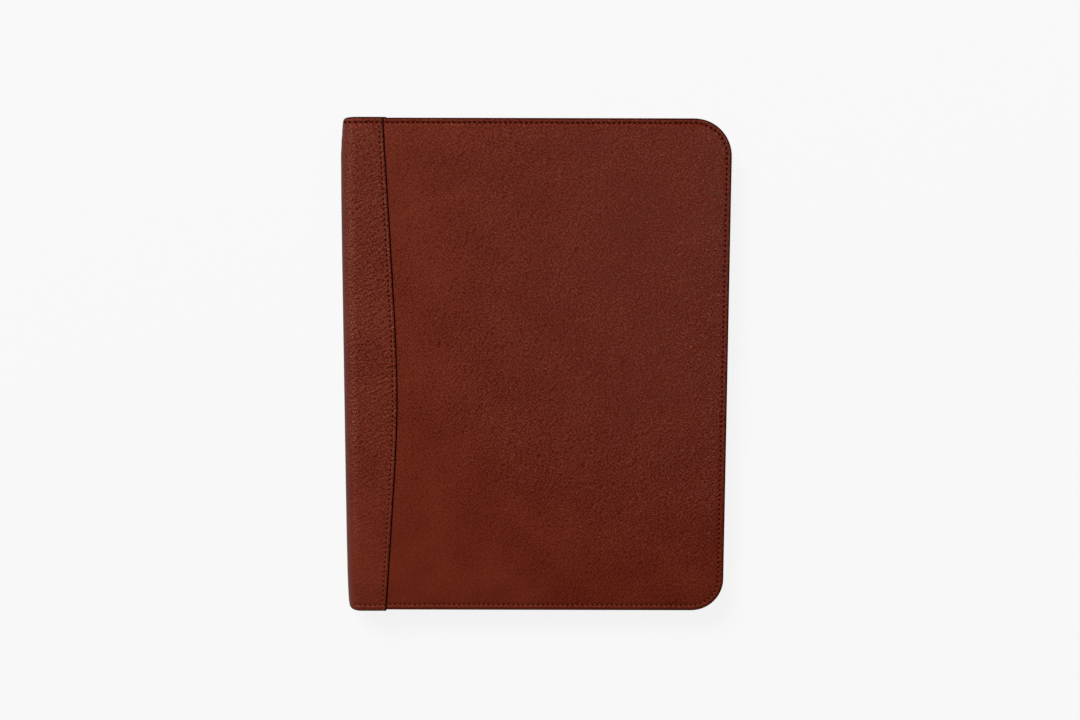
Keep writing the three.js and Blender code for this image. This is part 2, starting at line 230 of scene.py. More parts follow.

# Leather: gloss, roughness of the grain's valleys and tops, how much the grain changes the tone
# (painted shade in its valleys and painted light on its tops, with some tone that differs at
# random), and pebbles per millimetre and depth of the grain on the covers and on the spine wrap
LEATHER_GLOSS = 0.34
VALLEY_ROUGHNESS = 0.34
TOP_ROUGHNESS = 0.3
GRAIN_TONE_AND_SHADE = 0.38
PANEL_PEBBLES = 1.0
WRAP_PEBBLES = 0.82
PANEL_DEPTH = 0.17
WRAP_DEPTH = 0.24

# Colours in sRGB
PANEL_DARK = (80, 19, 6)
PANEL_LIGHT = (122, 51, 32)
WRAP_DARK = (79, 20, 7)
WRAP_LIGHT = (123, 53, 36)
PAINT = (50, 9, 5)
THREAD = (134, 52, 31)
# Painted shade of the stitch holes
HOLE_SHADE = (50, 9, 4)
CLOTH = (46, 26, 21)
BRASS = (196, 160, 92)
FLOOR = (247, 247, 247)
FLOOR_BASE = (70, 70, 70)

# Strengths: the floor's glow to the camera and on the folio, and the light from all round
FLOOR_GLOW = 0.945
FLOOR_BOUNCE = 0.25
SKY_LIGHT = 0.05

# Soft lights: name, place, target and size in metres, power, colour, and whether the light
# gives only gloss or only lights the colour
LIGHTS = (
    ("key", (-2.2, 4.3, 4.3), (0, 0, 0), (3.1, 2.2), 592, (1, 0.98, 0.95), False),
    ("fill", (0.9, 0.6, 1.2), (0, 0, 0), (0.3, 0.3), 2.5, (0.98, 0.98, 1), False),
    ("shine", (-0.45, 0.47, 1.1), (-0.1, 0.1, 0), (0.3, 0.3), 0.9, (1, 0.86, 0.76), True),
    ("gloss", (0.53, 0.23, 1.15), (0.1, 0, 0), (0.2, 0.2), 1.7, (1, 0.98, 0.97), True),
    ("strip", (-1.0, 0.18, 0.66), (-0.125, 0.1, 0.02), (0.4, 0.12), 2.6, (1, 0.8, 0.66), True),
)


def table(rows, at, column=1):
    """Smooth reading of one column of a short table at the values in at."""
    places = np.array([row[0] for row in rows], float)
    values = np.array([row[column] for row in rows], float)
    at = np.asarray(at, float)
    right = np.clip(np.searchsorted(places, at), 1, len(places) - 1)
    left = right - 1
    share = np.clip((at - places[left]) / (places[right] - places[left]), 0, 1)
    share = share * share * (3 - 2 * share)
    return values[left] + (values[right] - values[left]) * share


def crown_share(inset):
    """Share of the padded crown's height that is reached at a distance from the edge."""
    left = 1 - np.clip(np.asarray(inset, float) / CROWN_RUN, 0, 1)
    return 1 - left * left


def drift(x, y, shift):
    """Slow rise and fall of the leather, the same on every run."""
    total = 0
    for wavelength, direction, phase, share in DRIFT_WAVES:
        angle = math.radians(direction)
        along = np.asarray(x) * math.cos(angle) + np.asarray(y) * math.sin(angle)
        total = total + share * np.sin(2 * math.pi * along / wavelength + phase + shift)
    return DRIFT * total


def rim_relief(y, inset):
    """Ridge and stitch groove along a cover's edge."""
    return table(RIM_ROWS, np.asarray(inset) + SEAM_SHIFT * np.asarray(y) / HALF_HEIGHT)


def inset_at(x, y):
    """Distance from the three free edges."""
    x, y = np.asarray(x, float), np.asarray(y, float)
    radius = np.where(y > 0, HEAD_CORNER, TAIL_CORNER)
    across, along = x - FORE_X + radius, np.abs(y) - HALF_HEIGHT + radius
    straight = np.minimum(FORE_X - x, HALF_HEIGHT - np.abs(y))
    return np.where((across > 0) & (along > 0), radius - np.hypot(across, along), straight)


def front_face(x, y, inset):
    """Outer face of the front cover."""
    slow = drift(x, y, 0) * np.clip(np.asarray(inset) / DRIFT_RUN, 0, 1)
    return MARGIN_TOP + CROWN * crown_share(inset) + rim_relief(y, inset) + slow


def front_under(x, y, inset):
    """Inner face of the front cover, with the shape of x."""
    return MARGIN_TOP + CROWN * crown_share(inset) - COVER_WALL + 0 * np.asarray(x)


def ramp_share(x):
    """1 below a lap of the spine wrap, 0 where the back cover rests."""
    share = np.clip((np.asarray(x, float) - RAMP_START) / LAP_RAMP, 0, 1)
    return 1 - share * share * (3 - 2 * share)


def back_base(x, inset):
    """Outer face of the back cover without its low relief."""
    return BACK_LIFT * (1 - crown_share(inset)) + LAP_RISE * ramp_share(x)


def back_face(x, y, inset):
    """Outer face of the back cover, which is pressed flat where it rests."""
    return np.maximum(back_base(x, inset) - rim_relief(y, inset), 0)


def back_over(x, y, inset):
    """Inner face of the back cover."""
    return back_base(x, inset) + COVER_WALL


def lap_edge(y):
    """Place along X of the free edge of the spine wrap's laps."""
    y = np.asarray(y, float)
    run = np.hypot(y - LAP_APEX, LAP_BEND) - LAP_BEND
    whole = np.hypot(np.sign(y - LAP_APEX) * HALF_HEIGHT - LAP_APEX, LAP_BEND) - LAP_BEND
    end = np.where(y > LAP_APEX, LAP_HEAD, LAP_TAIL)
    return SPINE_X + LAP_MIDDLE + (end - LAP_MIDDLE) * np.minimum(run / whole, 1)


def add_mesh(name, corners, faces, materials, painted=None, smooth=True):
    """New mesh object from corners in millimetres, with its faces pointing out."""
    mesh = bpy.data.meshes.new(name)
    mesh.from_pydata((np.asarray(corners, float) * MM).tolist(), [], faces)
    for material in materials:
        mesh.materials.append(material)
    if painted is not None:
        mesh.polygons.foreach_set("material_index", np.asarray(painted, np.int32))
    mesh.polygons.foreach_set("use_smooth", np.full(len(faces), smooth))
    work = bmesh.new()
    work.from_mesh(mesh)
    bmesh.ops.recalc_face_normals(work, faces=work.faces)
    work.to_mesh(mesh)
    work.free()
    mesh.update()
    made = bpy.data.objects.new(name, mesh)
    bpy.context.scene.collection.objects.link(made)
    return made


# Camera
def add_camera():
    """The scene's camera, at the photograph's viewing angle."""
    data = bpy.data.cameras.new("camera")
    data.lens = CAMERA_LENS
    data.sensor_width = 36
    data.clip_end = 20
    camera = bpy.data.objects.new("camera", data)
    camera.location = Vector(CAMERA_PLACE) * MM
    camera.rotation_euler = [math.radians(turn) for turn in CAMERA_TURN]
    bpy.context.scene.collection.objects.link(camera)
    bpy.context.scene.camera = camera


# Materials
def add_node(tree, kind, inputs=None, **settings):
    """New shader node with its settings and inputs. A socket given as an input is linked."""
    made = tree.nodes.new(kind)
    for key, value in settings.items():
        setattr(made, key, value)
    for key, value in (inputs or {}).items():
        if isinstance(value, bpy.types.NodeSocket):
            tree.links.new(value, made.inputs[key])
        else:
            made.inputs[key].default_value = value
    return made


def new_material(name, constants):
    """Material with a Principled shader and its constant values. Returns the three."""
    material = bpy.data.materials.new(name)
    material.use_nodes = True
    tree = material.node_tree
    shader = tree.nodes["Principled BSDF"]
    for key, value in constants.items():
        shader.inputs[key].default_value = value
    return material, tree, shader


def linear(colour):
    """Linear colour with alpha from an sRGB colour of 0 to 255."""
    shares = [value / 255 for value in colour]
    parts = [s / 12.92 if s <= 0.04045 else ((s + 0.055) / 1.055) ** 2.4 for s in shares]
    return (*parts, 1)


def millimetres(tree, turn=0.0):
    """Object coordinates in millimetres, turned about Z."""
    coordinates = add_node(tree, "ShaderNodeTexCoord").outputs["Object"]
    turned = add_node(tree, "ShaderNodeVectorRotate", {
        "Vector": coordinates, "Angle": math.radians(turn)}, rotation_type="Z_AXIS")
    return add_node(tree, "ShaderNodeVectorMath", {
        0: turned.outputs["Vector"], 1: (1 / MM, 1 / MM, 1 / MM)},
        operation="MULTIPLY").outputs["Vector"]


def combine(tree, operation, first, second):
    """Result of a math node with two values or sockets."""
    return add_node(tree, "ShaderNodeMath", {0: first, 1: second}, operation=operation).outputs[0]


def mapped(tree, value, low, high, to_low, to_high):
    """A socket's value taken smoothly from one range to another."""
    return add_node(tree, "ShaderNodeMapRange", {
        "Value": value, "From Min": low, "From Max": high, "To Min": to_low, "To Max": to_high,
    }, interpolation_type="SMOOTHSTEP").outputs["Result"]


def noise_value(tree, vector, scale, detail=2.0, roughness=0.5):
    """Value of a noise texture."""
    return add_node(tree, "ShaderNodeTexNoise", {
        "Vector": vector, "Scale": scale, "Detail": detail, "Roughness": roughness,
    }).outputs["Fac"]


def mixed_colour(tree, factor, first, second):
    """Colour between two sRGB colours by a factor socket."""
    mix = add_node(tree, "ShaderNodeMix", {0: factor}, data_type="RGBA")
    low, high = [socket for socket in mix.inputs if socket.type == "RGBA"]
    low.default_value = linear(first)
    high.default_value = linear(second)
    return next(socket for socket in mix.outputs if socket.type == "RGBA")


def add_bump(tree, shader, height, depth):
    """Relief on a shader, from a height of 0 to 1 and its depth in millimetres."""
    bump = add_node(tree, "ShaderNodeBump", {
        "Height": height, "Strength": 1.0, "Distance": depth * MM})
    tree.links.new(bump.outputs["Normal"], shader.inputs["Normal"])


def unrolled(tree, turn=0.0, scale=(1, 1, 1)):
    """Millimetre coordinates for flat patterns. Height is added to X and Y, so that a
    pattern also runs down the walls."""
    parts = add_node(tree, "ShaderNodeSeparateXYZ", {"Vector": millimetres(tree)}).outputs
    spread = add_node(tree, "ShaderNodeCombineXYZ", {
        "X": combine(tree, "ADD", parts["X"], parts["Z"]),
        "Y": combine(tree, "ADD", parts["Y"], parts["Z"])}).outputs["Vector"]
    turned = add_node(tree, "ShaderNodeVectorRotate", {
        "Vector": spread, "Angle": math.radians(turn)}, rotation_type="Z_AXIS")
    return add_node(tree, "ShaderNodeVectorMath", {
        0: turned.outputs["Vector"], 1: scale}, operation="MULTIPLY").outputs["Vector"]


def leather_material(name, dark, light, pull_turn, pull, wrinkle, strength, pebbles, depth):
    """Pebbled leather between two tones. The pebbles are drawn out by pull along a direction
    that is pull_turn degrees below X. wrinkle is the height of the pulled wrinkles, strength
    is that of the whole grain, pebbles is how many lie on a millimetre and depth is the depth
    of the relief."""
    material, tree, shader = new_material(name, {"Specular IOR Level": LEATHER_GLOSS})
    flat = unrolled(tree)

    # Pebbles that a slow noise bends and a second noise makes uneven
    warp = add_node(tree, "ShaderNodeTexNoise", {"Vector": flat, "Scale": 0.16, "Detail": 2.0})
    bent = add_node(tree, "ShaderNodeVectorMath", {
        0: warp.outputs["Color"], 1: (3.0, 3.0, 0.0)}, operation="MULTIPLY").outputs["Vector"]
    placed = add_node(tree, "ShaderNodeVectorMath", {
        0: unrolled(tree, pull_turn, (1 / pull, 1, 0)), 1: bent},
        operation="ADD").outputs["Vector"]
    cells = add_node(tree, "ShaderNodeTexVoronoi", {
        "Vector": placed, "Scale": pebbles, "Smoothness": 0.25, "Randomness": 0.6,
    }, feature="SMOOTH_F1", voronoi_dimensions="2D")
    pebble = mapped(tree, cells.outputs["Distance"], 0.1, 0.62, 1.0, 0.0)
    fine = noise_value(tree, placed, 0.9 * pebbles, 2.0, 0.65)
    relief = combine(tree, "ADD", combine(tree, "MULTIPLY", pebble, 0.5), fine)

    # The grain's strength falls towards the tail and rises towards the fore edge. It sets the depth
    # of the relief and how much painted shade and light the grain puts into the tone
    places = add_node(tree, "ShaderNodeSeparateXYZ", {"Vector": flat}).outputs
    relief_and_shade_strength = combine(tree, "MULTIPLY", mapped(tree, places["Y"], -150, 40, 0.42, 1.0),
                   mapped(tree, places["X"], -120, 120, 0.72 * strength, 1.65 * strength))
    height = relief
    if wrinkle:
        pulled = noise_value(tree, unrolled(tree, pull_turn, (0.16, 0.5, 0)), 1.0, 1.0)
        height = combine(tree, "ADD", relief, combine(tree, "MULTIPLY", pulled, wrinkle))
    add_bump(tree, shader, combine(tree, "MULTIPLY", height, relief_and_shade_strength), depth)

    # Slow clouds of tone, with painted shade that darkens them from the spine towards the fore edge
    # as the light falls off, and then the grain's tone
    clouds_and_shade = mapped(tree, noise_value(tree, flat, 0.028, 3.0, 0.55), 0.3, 0.7, 0.26, 0.44)
    # Painted shade: the tone darkens towards the fore edge
    clouds_and_shade = combine(tree, "ADD", clouds_and_shade, mapped(tree, places["X"], -120, 130, 0.11, -0.09))
    # Painted shade in the grain's valleys and painted light on its tops, with a fine noise of tone that
    # differs at random
    grain = mapped(tree, relief, 0.4, 1.15, -GRAIN_TONE_AND_SHADE, GRAIN_TONE_AND_SHADE)
    # The grain's painted shade and light are scaled by the grain's strength
    tone = combine(tree, "ADD", clouds_and_shade, combine(tree, "MULTIPLY", grain, relief_and_shade_strength))
    tree.links.new(mixed_colour(tree, tone, dark, light), shader.inputs["Base Color"])
    roughness = mapped(tree, pebble, 0.0, 1.0, VALLEY_ROUGHNESS, TOP_ROUGHNESS)
    tree.links.new(roughness, shader.inputs["Roughness"])
    return material


def paint_material():
    """Dark edge paint, smooth with a faint unevenness."""
    material, tree, shader = new_material("edge_paint", {"Roughness": 0.6, "Specular IOR Level": 0.06})
    height = noise_value(tree, millimetres(tree), 0.7, 3.0, 0.6)
    add_bump(tree, shader, height, 0.05)
    low = tuple(0.7 * part for part in PAINT)
    tree.links.new(mixed_colour(tree, height, low, PAINT), shader.inputs["Base Color"])
    return material


def thread_material(name, colour, gloss):
    """Twisted sewing thread."""
    material, tree, shader = new_material(name, {"Roughness": 0.62, "Specular IOR Level": gloss})
    wave = add_node(tree, "ShaderNodeTexWave", {
        "Vector": millimetres(tree, 45), "Scale": 1.2, "Distortion": 1.0})
    add_bump(tree, shader, wave.outputs["Fac"], 0.05)
    low = tuple(0.72 * part for part in colour)
    tree.links.new(mixed_colour(tree, wave.outputs["Fac"], low, colour), shader.inputs["Base Color"])
    return material


def cloth_material():
    """Woven zip tape with a fine herringbone rib."""
    material, tree, shader = new_material("zip_cloth", {"Roughness": 0.85, "Specular IOR Level": 0.2})
    flat = millimetres(tree)
    ribs = add_node(tree, "ShaderNodeTexWave", {
        "Vector": flat, "Scale": 0.9, "Distortion": 0.4}, bands_direction="DIAGONAL")
    yarns = add_node(tree, "ShaderNodeTexWave", {
        "Vector": flat, "Scale": 0.7, "Distortion": 0.4}, bands_direction="Z")
    height = combine(tree, "ADD", ribs.outputs["Fac"], yarns.outputs["Fac"])
    add_bump(tree, shader, height, 0.12)
    low = tuple(0.6 * part for part in CLOTH)
    tone = combine(tree, "MULTIPLY", height, 0.5)
    tree.links.new(mixed_colour(tree, tone, low, CLOTH), shader.inputs["Base Color"])
    return material


def brass_material():
    """Polished brass with light wear."""
    material, tree, shader = new_material("zip_brass", {"Metallic": 1.0})
    wear = noise_value(tree, millimetres(tree), 0.9, 4.0, 0.65)
    low = tuple(0.8 * part for part in BRASS)
    tree.links.new(mixed_colour(tree, wear, low, BRASS), shader.inputs["Base Color"])
    tree.links.new(mapped(tree, wear, 0.3, 0.7, 0.22, 0.42), shader.inputs["Roughness"])
    add_bump(tree, shader, wear, 0.01)
    return material


# Covers
def spaced(start, end, step):
    """Even places from start to end, about one step apart."""
    count = max(2, round((end - start) / step))
    return np.linspace(start, end, count + 1)


LEG_SHARES = spaced(0, 1, GRID_STEP / (FORE_X - HEAD_CORNER - COVER_START))
SIDE_SHARES = spaced(0, 1, GRID_STEP / (2 * HALF_HEIGHT - 2 * HEAD_CORNER))


def free_edge(inset, tail=COVER_START, head=COVER_START, legs=LEG_SHARES, sides=SIDE_SHARES,
              steps=CORNER_STEPS):
    """Line at one inset round the three free sides. tail and head are where its legs begin
    along X, and legs and sides are the shares at which its straight stretches are cut."""
    end, side = HALF_HEIGHT - inset, FORE_X - inset
    low, high = max(TAIL_CORNER - inset, 0), max(HEAD_CORNER - inset, 0)
    angles = np.arange(1, steps + 1) / steps * math.pi / 2
    tail_leg = tail + (side - low - tail) * legs
    head_leg = (head + (side - high - head) * legs)[::-1][1:]
    rise = (low - end + (2 * end - low - high) * sides)[1:]
    parts = [
        (tail_leg, np.full(len(tail_leg), -end)),
        (side - low + low * np.sin(angles), low - end - low * np.cos(angles)),
        (np.full(len(rise), side), rise),
        (side - high + high * np.cos(angles), end - high + high * np.sin(angles)),
        (head_leg, np.full(len(head_leg), end)),
    ]
    return np.concatenate([np.column_stack(part) for part in parts])


# Insets and edge drops of the rings on a cover's inner face
INNER_ROWS = [(5, 0), (11, 0), (17, 0), (CROWN_RUN, 0)]


def cover_rows():
    """Insets and edge drops of a cover's rings on its outer face, from the edge inwards."""
    angles = np.linspace(0, math.pi / 2, ROUND_STEPS)
    rows = [(EDGE_ROUND * (1 - math.cos(a)), EDGE_ROUND * (1 - math.sin(a))) for a in angles]
    return rows + [(inset, 0) for inset in (*RIM_INSETS, *FACE_INSETS)]


def cover(name, outer, inner, sign, materials):
    """A cover as one closed mesh. outer and inner give the heights of its faces, and sign
    is 1 where the outer face looks up."""
    rows = cover_rows()
    count = len(free_edge(0))
    leg, side = len(LEG_SHARES), len(SIDE_SHARES)
    corners, faces, painted = [], [], []

    def add_ring(height, inset, drop):
        """Adds one ring of corners and returns the number of its first."""
        line = free_edge(inset)
        z = height(line[:, 0], line[:, 1], inset) + drop
        corners.append(np.column_stack([line, z]))
        return (len(corners) - 1) * count

    def join(first, second, paint):
        """Adds the faces between two rings."""
        for i in range(count - 1):
            faces.append((first + i, first + i + 1, second + i + 1, second + i))
            painted.append(paint)

    outside = [add_ring(outer, inset, -sign * drop) for inset, drop in rows[:-1]]
    inside = [add_ring(inner, inset, sign * drop) for inset, drop in rows[:ROUND_STEPS:2] + INNER_ROWS]
    for k in range(len(outside) - 1):
        join(outside[k], outside[k + 1], int(rows[k + 1][0] <= PAINT_WIDTH))
    join(outside[0], inside[0], 1)
    for k in range(len(inside) - 1):
        join(inside[k], inside[k + 1], 1)

    # Middle of the outer face, a grid whose border is the innermost ring
    inner_end = HALF_HEIGHT - HEAD_CORNER
    grid_x, grid_y = np.meshgrid(COVER_START + (FORE_X - HEAD_CORNER - COVER_START) * LEG_SHARES,
                                 inner_end * (2 * SIDE_SHARES - 1), indexing="ij")
    grid_z = outer(grid_x, grid_y, inset_at(grid_x, grid_y))
    start = len(corners) * count
    corners.append(np.column_stack([grid_x.ravel(), grid_y.ravel(), grid_z.ravel()]))

    def at(i, j):
        """Number of a corner of the grid."""
        return start + i * side + j

    for i in range(leg - 1):
        for j in range(side - 1):
            faces.append((at(i, j), at(i + 1, j), at(i + 1, j + 1), at(i, j + 1)))
            painted.append(0)
    border = [at(i, 0) for i in range(leg)] + [at(leg - 1, 0)] * CORNER_STEPS
    border += [at(leg - 1, j) for j in range(1, side)] + [at(leg - 1, side - 1)] * CORNER_STEPS
    border += [at(i, side - 1) for i in range(leg - 2, -1, -1)]
    for i in range(count - 1):
        ring = [outside[-1] + i, outside[-1] + i + 1, border[i + 1], border[i]]
        faces.append(tuple(dict.fromkeys(ring)))
        painted.append(0)

    # Inner face, strips between the two legs and a fan beside the fore edge
    last = inside[-1]
    for i in range(leg - 1):
        faces.append((last + i, last + i + 1, last + count - 2 - i, last + count - 1 - i))
        painted.append(0)
    for i in range(leg, count - leg):
        faces.append((last + leg - 1, last + i, last + i + 1))
        painted.append(0)

    # Closing wall under the spine wrap
    wall = [inside[k] for k in range(len(inside) - 1, -1, -1)] + outside
    wall += [at(0, j) for j in range(side)]
    wall += [k + count - 1 for k in outside[::-1]] + [k + count - 1 for k in inside]
    faces.append(tuple(wall))
    painted.append(0)
    return add_mesh(name, np.concatenate(corners), faces, materials, painted)


# Spine wrap
def end_distance(y):
    """Distance from the wrap's nearer end."""
    return WRAP_HALF - np.abs(y)


def round_drop(distance):
    """Drop of a rounded edge at a distance from it."""
    left = np.clip(EDGE_ROUND - np.asarray(distance, float), 0, EDGE_ROUND)
    return EDGE_ROUND - np.sqrt(EDGE_ROUND ** 2 - left ** 2)


def pinch_at(y):
    """How far the spine is drawn in at a place along it."""
    along = abs(y) / WRAP_HALF
    return SPINE_PINCH * float(table(PINCH_ROWS, along, 1 if y > 0 else 2))


def lap_top(x, y):
    """Outer face of the wrap's front lap."""
    inset = inset_at(x, y)
    relief = table(LAP_ROWS, lap_edge(y) - np.asarray(x, float))
    return front_face(x, y, inset) + LAP_RISE + relief - round_drop(end_distance(y))


def lap_bottom(x, y):
    """Outer face of the wrap's back lap, which rests on the table."""
    inset = HALF_HEIGHT - np.abs(y)
    base = BACK_LIFT * (1 - crown_share(inset)) - rim_relief(y, inset)
    relief = table(LAP_ROWS, lap_edge(y) - np.asarray(x, float))
    return np.maximum(base - relief, 0) + round_drop(end_distance(y))


def wrap_line(y, wall):
    """Section of the wrap at one place along the spine. wall is 0 on the outer face."""
    edge = float(lap_edge(y))
    flat = np.concatenate([edge - LAP_CUTS, np.linspace(edge - LAP_CUTS[-1], BEND_X, 12)[1:-1]])
    inset = HALF_HEIGHT - abs(y)
    if wall:
        settle = np.clip((edge - flat) / LAP_SETTLE, 0, 1)
        top = front_face(flat, y, inset) + LAP_TUCK + (LAP_RISE - wall - LAP_TUCK) * settle
        low = BACK_LIFT * (1 - crown_share(inset)) - rim_relief(y, inset)
        bottom = (np.maximum(low, 0) + LAP_RISE - LAP_TUCK
                  - (LAP_RISE - wall - LAP_TUCK) * settle)
        top_end = float(front_face(BEND_X, y, inset)) + LAP_RISE - wall
        bottom_end = float(np.maximum(low, 0)) + wall
        drop = 0
    else:
        top = lap_top(flat, y)
        bottom = lap_bottom(flat, y)
        top_end = float(lap_top(BEND_X, y))
        bottom_end = float(lap_bottom(BEND_X, y))
        drop = float(round_drop(end_distance(y)))
    angles = np.linspace(0, math.pi, BEND_STEPS + 1)
    depth = SPINE_DEPTH - pinch_at(y) - wall - drop
    mid, half = (top_end + bottom_end) / 2, (top_end - bottom_end) / 2
    x = np.concatenate([flat, BEND_X - depth * np.sin(angles), flat[::-1]])
    z = np.concatenate([top, mid + half * np.cos(angles), bottom[::-1]])
    setback = table(CORNER_ROWS, x - SPINE_X, 1 if y > 0 else 2)
    near_end = np.clip(1 - end_distance(y) / CORNER_RUN, 0, 1) ** 2
    return np.column_stack([x, y - math.copysign(1, y) * setback * near_end, z])


def wrap_places():
    """Places along the spine, closer together at its ends."""
    middle = spaced(-WRAP_HALF + END_RUN, WRAP_HALF - END_RUN, WRAP_STEP)
    return np.concatenate([-WRAP_HALF + END_CUTS, middle, (WRAP_HALF - END_CUTS)[::-1]])


def spine(name, materials):
    """The spine wrap as one closed mesh, with painted edges."""
    places = wrap_places()
    outer = [wrap_line(y, 0) for y in places]
    inner = [wrap_line(y, WRAP_WALL) for y in places]
    rows, columns = len(places), len(outer[0])
    shift = rows * columns
    faces, painted = [], []
    edge_columns = 3
    for r in range(rows - 1):
        end = min(end_distance(places[r]), end_distance(places[r + 1])) < END_PAINT
        for c in range(columns - 1):
            a, d = r * columns + c, (r + 1) * columns + c
            faces.append((a, a + 1, d + 1, d))
            painted.append(int(end or c < edge_columns or c >= columns - 1 - edge_columns))
            faces.append((a + shift, a + 1 + shift, d + 1 + shift, d + shift))
            painted.append(0)
    rim = list(range(columns)) + [r * columns + columns - 1 for r in range(1, rows)]
    rim += [(rows - 1) * columns + c for c in range(columns - 2, -1, -1)]
    rim += [r * columns for r in range(rows - 2, 0, -1)]
    for k, a in enumerate(rim):
        b = rim[(k + 1) % len(rim)]
        faces.append((a, b, b + shift, a + shift))
        painted.append(1)
    return add_mesh(name, np.concatenate(outer + inner), faces, materials, painted)


# Stitches
def walk(line, step, start=0.0):
    """Points and directions at even steps along a line of points in the plane."""
    line = np.asarray(line, float)
    lengths = np.concatenate([[0], np.cumsum(np.linalg.norm(np.diff(line, axis=0), axis=1))])
    count = int((lengths[-1] - 2 * start) / step)
    at = start + (lengths[-1] - 2 * start - count * step) / 2 + np.arange(count + 1) * step
    points = np.column_stack([np.interp(at, lengths, line[:, k]) for k in range(2)])
    ahead = np.column_stack([np.interp(at + 0.5, lengths, line[:, k]) for k in range(2)])
    behind = np.column_stack([np.interp(at - 0.5, lengths, line[:, k]) for k in range(2)])
    ways = ahead - behind
    return points, ways / np.linalg.norm(ways, axis=1)[:, None]


def bead(rings, sides):
    """Unit ball with few faces: corners and faces."""
    corners = [(0, 0, -1)]
    for r in range(1, rings):
        polar = math.pi * r / rings
        for s in range(sides):
            angle = 2 * math.pi * s / sides
            corners.append((math.sin(polar) * math.cos(angle),
                            math.sin(polar) * math.sin(angle), -math.cos(polar)))
    corners.append((0, 0, 1))
    faces = [(0, 1 + (s + 1) % sides, 1 + s) for s in range(sides)]
    for r in range(rings - 2):
        for s in range(sides):
            a, b = 1 + r * sides + s, 1 + r * sides + (s + 1) % sides
            faces.append((a, b, b + sides, a + sides))
    top = len(corners) - 1
    faces += [(top, top - sides + s, top - sides + (s + 1) % sides) for s in range(sides)]
    return np.array(corners), faces


def beads(name, points, ways, heights, normal_sign, size, grow, turn, material):
    """Joined flat beads along a seam. size is length, width and height, grow changes the
    length and the width of each bead, and turn is its slant against the seam."""
    unit, unit_faces = bead(BEAD_RINGS, BEAD_SIDES)
    corners, faces = [], []
    for k, (point, way) in enumerate(zip(points, ways)):
        angle = math.atan2(way[1], way[0]) + normal_sign * turn
        along = np.array([math.cos(angle), math.sin(angle), 0])
        across = np.array([-math.sin(angle), math.cos(angle), 0])
        centre = np.array([point[0], point[1], heights[k]])
        local = (unit[:, :1] * along * grow[k] * size[0] / 2
                 + unit[:, 1:2] * across * grow[k] * size[1] / 2
                 + unit[:, 2:] * np.array([0, 0, 1]) * size[2] / 2)
        corners.append(centre + local)
        faces += [tuple(i + k * len(unit) for i in face) for face in unit_faces]
    return add_mesh(name, np.concatenate(corners), faces, [material])


def bend_drop(x, y):
    """How far the spine's bend lies inside the laps' faces at a place, seen from above."""
    depth = np.array([SPINE_DEPTH - pinch_at(v) for v in y])
    share = np.clip((BEND_X - x) / depth, 0, 1)
    half = (lap_top(BEND_X, y) - lap_bottom(BEND_X, y)) / 2
    return half * (1 - np.sqrt(1 - share ** 2))


def front_top(x, y):
    """Topmost leather at a place seen from above."""
    on_lap = lap_top(np.maximum(x, BEND_X), y) - bend_drop(x, y)
    return np.where(x < lap_edge(y), on_lap, front_face(x, y, inset_at(x, y)))


def back_low(x, y):
    """Lowest leather at a place seen from below."""
    on_lap = lap_bottom(np.maximum(x, BEND_X), y) + bend_drop(x, y)
    return np.where(x < lap_edge(y), on_lap, back_face(x, y, inset_at(x, y)))


def seam(name, line, rows, height, sign):
    """One line of slanted stitches and dark marks of painted shade at their holes. rows give
    the painted shade along the seam, and sign is 1 on the front. None reaches below the floor."""
    points, ways = walk(line, STITCH_PITCH / 2, SEAM_MARGIN)
    z = np.maximum(height(points[:, 0], points[:, 1]) + sign * STITCH_LIFT, THREAD_HEIGHT / 2)
    # Share of painted shade at each stitch: the threads shrink and the hole marks grow with it
    drawn = table(rows, points[:, 1] / HALF_HEIGHT)
    threads = beads(name + "_threads", points[::2], ways[::2], z[::2], sign,
                    (THREAD_LENGTH, THREAD_WIDTH, THREAD_HEIGHT), 1.25 - 0.25 * drawn[::2],
                    THREAD_SLANT, thread)
    # Flat dark marks of painted shade at the holes
    holes = beads(name + "_holes", points[1::2], ways[1::2], z[1::2], sign,
                  (HOLE_LENGTH, HOLE_WIDTH, HOLE_HEIGHT), 0.55 + 0.45 * drawn[1::2],
                  HOLE_SLANT, hole)
    for made in (threads, holes):
        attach(made, "root")


# Zip
def band(name, section, material):
    """Closed solid of a section carried round the three free sides. Each corner of the
    section is an inset and a function of X that gives its height."""
    lines = [free_edge(inset, ZIP_START, ZIP_START, ZIP_LEG_SHARES, ZIP_SIDE_SHARES, ZIP_CORNER_STEPS)
             for inset, _ in section]
    count, size = len(lines[0]), len(section)
    corners = np.zeros((count, size, 3))
    for k, (_, height) in enumerate(section):
        corners[:, k, :2] = lines[k]
        corners[:, k, 2] = height(lines[k][:, 0])
    faces = []
    for i in range(count - 1):
        for k in range(size):
            a, b = i * size + k, i * size + (k + 1) % size
            faces.append((a, b, b + size, a + size))
    faces.append(tuple(range(size)))
    faces.append(tuple((count - 1) * size + k for k in range(size)))
    return add_mesh(name, corners.reshape(-1, 3), faces, [material])


